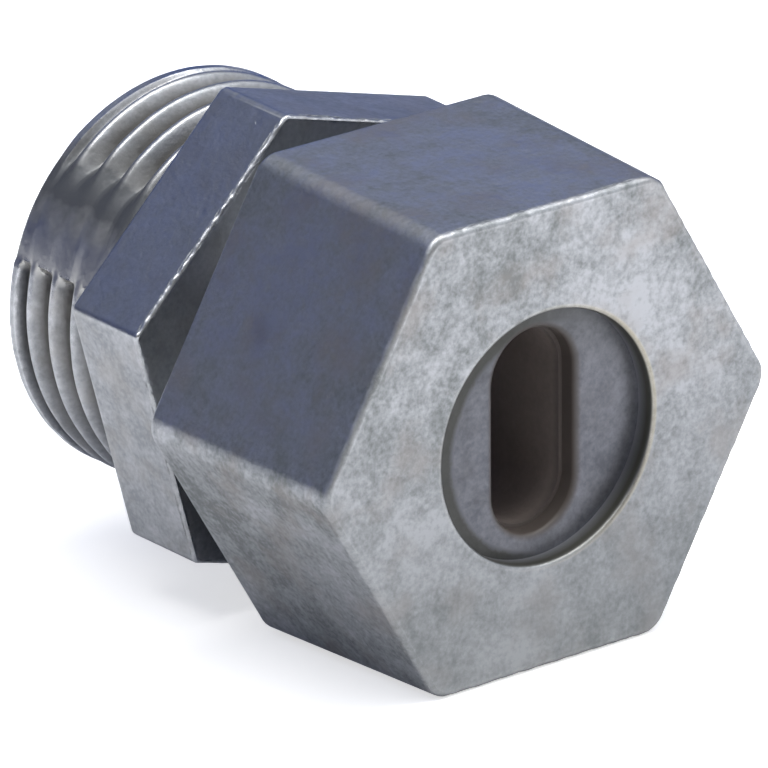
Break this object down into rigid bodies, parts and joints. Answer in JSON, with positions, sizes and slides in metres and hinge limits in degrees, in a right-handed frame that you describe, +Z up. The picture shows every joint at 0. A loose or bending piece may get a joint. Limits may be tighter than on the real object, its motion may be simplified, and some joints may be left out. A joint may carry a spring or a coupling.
{
  "type": "watertight cable connector",
  "caption": "Hexagonal gland connector for flat cable: threaded metal body, tapered compression nut, slotted washer and rubber bushing, seating in a box knockout.",
  "frame": {"origin": "on the connector's axis, at the face of the collar that seats on a box wall", "axes": "+Y along the axis out of the conduit thread, into the box; the cable enters from -Y; +Z up as it lies on a flat of its nut"},
  "size_m": [0.0282, 0.0298, 0.0254],
  "materials": {
    "body_casting": "as cast zinc alloy",
    "nut_casting": "as cast zinc alloy",
    "washer_steel": "zinc plated, dull",
    "grommet_rubber": "moulded, matte"
  },
  "bodies": {
    "connector": {"connector_body": "body_casting"},
    "washer": {"friction_washer": "washer_steel", "sealing_grommet": "grommet_rubber"},
    "nut": {"gland_nut": "nut_casting"}
  },
  "joints": [
    {"name": "washer_travel", "type": "slide", "parent": "connector", "child": "washer", "axis": [0, -1, 0], "range_m": [-0.0015, 0.009], "deforming": ["sealing_grommet"]},
    {"name": "nut_turn", "type": "hinge", "parent": "washer", "child": "nut", "pos_m": [0, -0.0212, 0], "axis": [0, -1, 0], "range_deg": [-425, 2551]}
  ],
  "couplings": [
    {"joint": "washer_travel", "follows": "nut_turn", "m_per_rad": 0.00020213}
  ]
}
